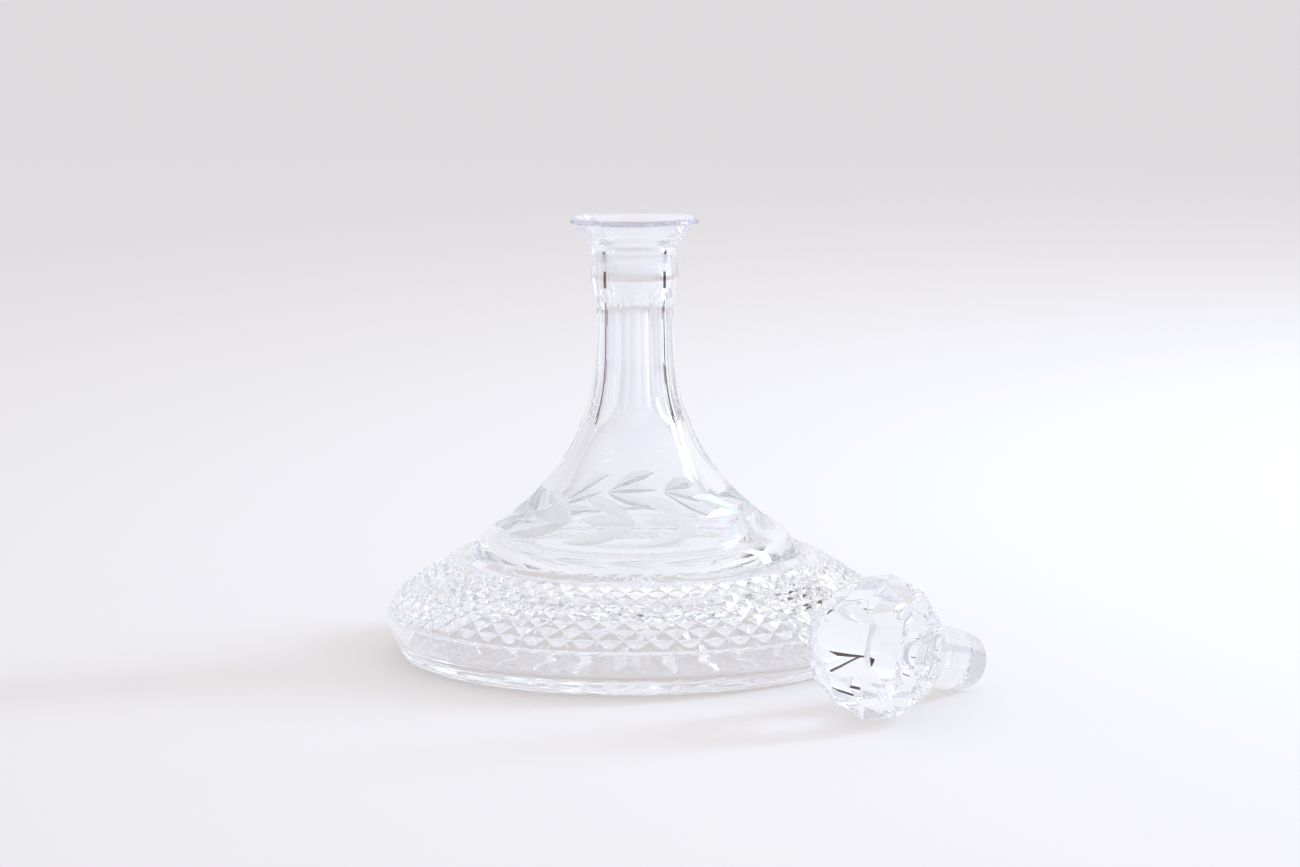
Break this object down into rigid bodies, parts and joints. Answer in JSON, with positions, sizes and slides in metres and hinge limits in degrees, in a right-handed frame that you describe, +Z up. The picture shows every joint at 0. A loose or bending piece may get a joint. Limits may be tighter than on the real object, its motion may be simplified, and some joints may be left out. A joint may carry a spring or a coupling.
{
  "type": "wine decanter",
  "caption": "Wide-based ship's decanter of cut crystal with a long fluted neck and a flared lip, open, its faceted ball stopper lying beside it.",
  "frame": {"origin": "centre of the decanter's foot ring, on the table plane", "axes": "+Z up along the neck's axis; the stopper lies on the +X, -Y side, which faces the viewer from -Y"},
  "size_m": [0.2456, 0.2718, 0.1845],
  "materials": {
    "crystal_decanter": "polished clear crystal with cut diamonds, leaves and flutes; the socket in the neck is ground",
    "crystal_stopper": "polished clear crystal with flat facets; the plug's end is ground"
  },
  "bodies": {
    "decanter": {"decanter_body": "crystal_decanter"},
    "stopper": {"stopper": "crystal_stopper"}
  },
  "joints": [
    {"name": "stopper_lift", "type": "slide", "parent": "decanter", "child": "stopper", "axis": [0, 0, 1], "range_m": [0, 0.2]}
  ]
}
